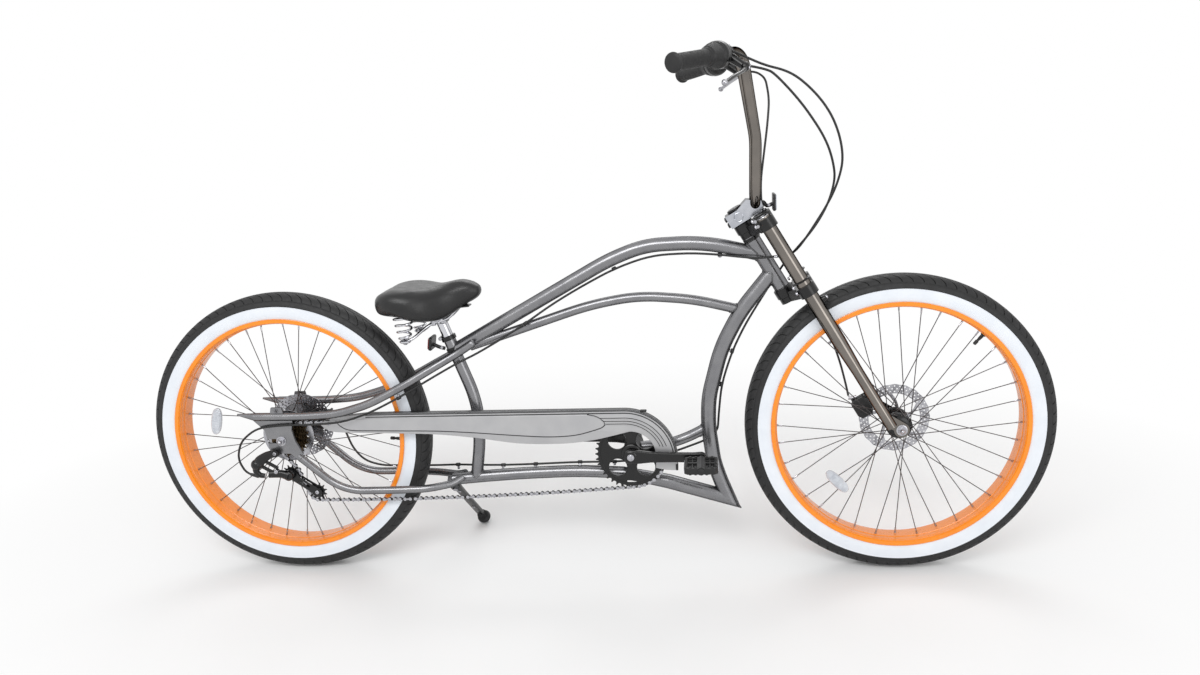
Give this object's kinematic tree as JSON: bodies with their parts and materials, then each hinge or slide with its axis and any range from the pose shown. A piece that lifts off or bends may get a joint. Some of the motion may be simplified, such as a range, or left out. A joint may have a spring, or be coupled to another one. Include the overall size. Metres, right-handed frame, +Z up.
{
  "type": "chopper cruiser bicycle",
  "caption": "Chopper cruiser bicycle with balloon tyres, a long bent-tube frame, a raked triple-clamp fork, tall swept bars, disc brakes, a chain guard and a side stand.",
  "frame": {"origin": "on the floor under the middle of the bounding box", "axes": "+X forward, +Y to the rider's left, +Z up; the bicycle leans 8 degrees to its left on its side stand"},
  "size_m": [2.116, 0.6628, 1.2034],
  "materials": {
    "frame_paint": "satin graphite grey",
    "guard_paint": "satin silver grey",
    "tyre_rubber": "matt with white sidewalls",
    "rim_paint": "gloss orange",
    "spoke_steel": "black",
    "black_metal": "satin black",
    "disc_steel": "brushed",
    "cog_steel": "bronze brown",
    "chain_steel": "oiled",
    "dark_chrome": "smoked, polished",
    "silver": "polished",
    "bolt_steel": "plated",
    "grip_rubber": "matt",
    "black_plastic": "matt",
    "saddle_vinyl": "satin black",
    "cable_sheath": "black",
    "red_reflector": "red prisms in a black shell",
    "clear_reflector": "clear prisms"
  },
  "bodies": {
    "frame": {"head_tube": "frame_paint", "top_tube": "frame_paint", "arch_tube": "frame_paint", "down_tube": "frame_paint", "seat_tube": "frame_paint", "bottom_bracket": "frame_paint", "upper_stays": "frame_paint", "lower_stays": "frame_paint", "dropout_right": "frame_paint", "dropout_left": "frame_paint", "bottom_tube": "frame_paint", "rear_axle": "bolt_steel", "chain": "chain_steel", "chain_guard": "guard_paint", "derailleur": "black_metal", "rear_caliper": "black_metal", "shift_cable": "cable_sheath", "rear_brake_cable": "cable_sheath", "steering_loops": "cable_sheath", "seat_post": "bolt_steel", "saddle": "saddle_vinyl", "rear_reflector": "red_reflector"},
    "rear_wheel": {"rear_tyre": "tyre_rubber", "rear_rim": "rim_paint", "rear_spokes": "spoke_steel", "rear_hub": "black_metal", "rear_rotor": "disc_steel", "cassette": "cog_steel"},
    "fork": {"lower_crown": "black_metal", "upper_crown": "black_metal", "fork_legs": "dark_chrome", "front_axle": "bolt_steel", "stem": "silver", "handlebar": "dark_chrome", "grips": "grip_rubber", "brake_levers": "silver", "front_caliper": "black_metal", "front_brake_cable": "cable_sheath", "front_reflector": "clear_reflector"},
    "front_wheel": {"front_tyre": "tyre_rubber", "front_rim": "rim_paint", "front_spokes": "spoke_steel", "front_hub": "black_metal", "front_rotor": "disc_steel"},
    "crank": {"chainring": "black_metal", "crank_arms": "black_metal"},
    "pedal_right": {"pedal_right": "black_plastic"},
    "pedal_left": {"pedal_left": "black_plastic"},
    "side_stand": {"side_stand": "black_metal"}
  },
  "joints": [
    {"name": "rear_wheel_spin", "type": "hinge", "parent": "frame", "child": "rear_wheel", "pos_m": [-0.7145, -0.11168, 0.34197], "axis": [0, 0.9903, -0.1392], "continuous": true},
    {"name": "steering", "type": "hinge", "parent": "frame", "child": "fork", "pos_m": [0.42902, -0.05988, 0.71056], "axis": [-0.503, 0.1203, 0.8559], "range_deg": [-35, 35], "deforming": ["steering_loops"]},
    {"name": "front_wheel_spin", "type": "hinge", "parent": "fork", "child": "front_wheel", "pos_m": [0.7145, -0.11168, 0.34197], "axis": [0, 0.9903, -0.1392], "continuous": true},
    {"name": "crank_spin", "type": "hinge", "parent": "frame", "child": "crank", "pos_m": [0.111, -0.11861, 0.29265], "axis": [0, 0.9903, -0.1392], "continuous": true},
    {"name": "pedal_right_spin", "type": "hinge", "parent": "crank", "child": "pedal_right", "pos_m": [0.27097, -0.18865, 0.29911], "axis": [0, 0.9903, -0.1392], "continuous": true},
    {"name": "pedal_left_spin", "type": "hinge", "parent": "crank", "child": "pedal_left", "pos_m": [-0.04897, -0.04858, 0.28619], "axis": [0, 0.9903, -0.1392], "continuous": true},
    {"name": "stand_fold", "type": "hinge", "parent": "frame", "child": "side_stand", "pos_m": [-0.3305, -0.10324, 0.18648], "axis": [0, 0.7826, 0.6225], "range_deg": [0, 79]}
  ]
}
